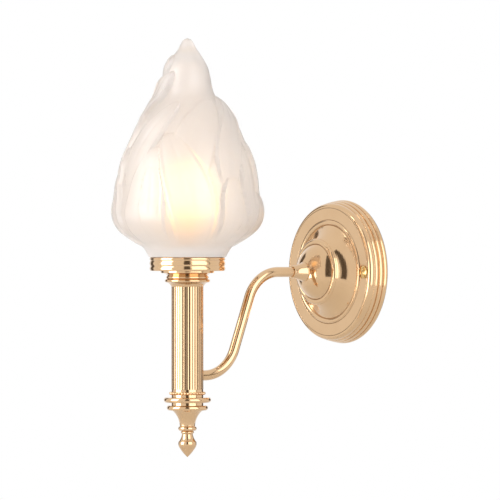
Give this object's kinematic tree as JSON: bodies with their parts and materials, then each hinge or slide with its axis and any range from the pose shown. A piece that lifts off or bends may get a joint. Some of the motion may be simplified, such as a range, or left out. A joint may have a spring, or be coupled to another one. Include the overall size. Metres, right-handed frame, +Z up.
{
  "type": "torch sconce",
  "caption": "Wall light in polished brass: a reeded torch with a flame-shaped frosted glass shade, held by a swan-neck arm from a round domed wall plate with a ribbed rim.",
  "frame": {"origin": "on the wall plane, at the middle of the wall plate and of the bracket's two fixing slots", "axes": "+Z up along the torch, +Y into the wall, +X to the right for someone facing the wall; the light stands out towards -Y"},
  "size_m": [0.1252, 0.2223, 0.3419],
  "materials": {
    "polished_brass": "polished, clear-lacquered light gold brass",
    "nut_brass": "polished, slightly yellower brass",
    "raw_brass": "plain machined brass, unpolished",
    "plated_steel": "bright zinc plate",
    "nickel_cap": "thin nickel-plated lamp cap",
    "frosted_glass": "acid-frosted moulded glass",
    "lamp_glass": "opal lamp glass",
    "white_ceramic": "glazed white porcelain",
    "silicone": "translucent white silicone",
    "nylon": "moulded natural nylon",
    "wire_sleeve": "white heat-resistant lead sleeve"
  },
  "bodies": {
    "frame": {"wall_bracket": "plated_steel", "bracket_screws": "plated_steel", "lock_nuts": "plated_steel", "backplate": "polished_brass", "dome_cap": "polished_brass", "clamp_disc": "plated_steel", "clamp_washer": "plated_steel", "clamp_nut": "raw_brass", "arm_ferrule": "polished_brass", "arm_tube": "polished_brass", "arm_block": "raw_brass", "column": "polished_brass", "tie_tube": "plated_steel", "tie_stud": "plated_steel", "capital": "polished_brass", "gallery_cup": "polished_brass", "base_collar": "polished_brass", "base_flange": "polished_brass", "bell_cup": "polished_brass", "washer_ring": "polished_brass", "finial": "polished_brass", "lampholder_body": "white_ceramic", "lampholder_shell": "raw_brass", "lampholder_contact": "raw_brass", "terminal_block": "nylon", "terminal_screws": "plated_steel", "earth_screw": "raw_brass", "earth_washer": "plated_steel", "lamp_leads": "wire_sleeve"},
    "shade_carrier": {"shade_seal": "silicone"},
    "shade": {"glass_neck": "frosted_glass", "glass_shade": "frosted_glass", "shade_ring": "raw_brass"},
    "lamp": {"bulb_glass": "lamp_glass", "bulb_cap": "nickel_cap", "bulb_contact": "raw_brass"},
    "left_cap_nut": {"cap_nut_left": "nut_brass"},
    "right_cap_nut": {"cap_nut_right": "nut_brass"}
  },
  "joints": [
    {"name": "shade_lift", "type": "slide", "parent": "frame", "child": "shade_carrier", "axis": [0, 0, 1], "range_m": [0, 0.095]},
    {"name": "shade_turn", "type": "hinge", "parent": "shade_carrier", "child": "shade", "pos_m": [0, -0.161, 0.008], "axis": [0, 0, 1], "range_deg": [0, 1000]},
    {"name": "lamp_turn", "type": "hinge", "parent": "frame", "child": "lamp", "pos_m": [0, -0.161, 0.02], "axis": [0, 0, 1], "range_deg": [0, 1150]},
    {"name": "cap_nut_left_turn", "type": "hinge", "parent": "frame", "child": "left_cap_nut", "pos_m": [-0.0488, -0.017, 0], "axis": [0, -1, 0], "range_deg": [0, 3900]},
    {"name": "cap_nut_right_turn", "type": "hinge", "parent": "frame", "child": "right_cap_nut", "pos_m": [0.0488, -0.017, 0], "axis": [0, -1, 0], "range_deg": [0, 3900]}
  ]
}
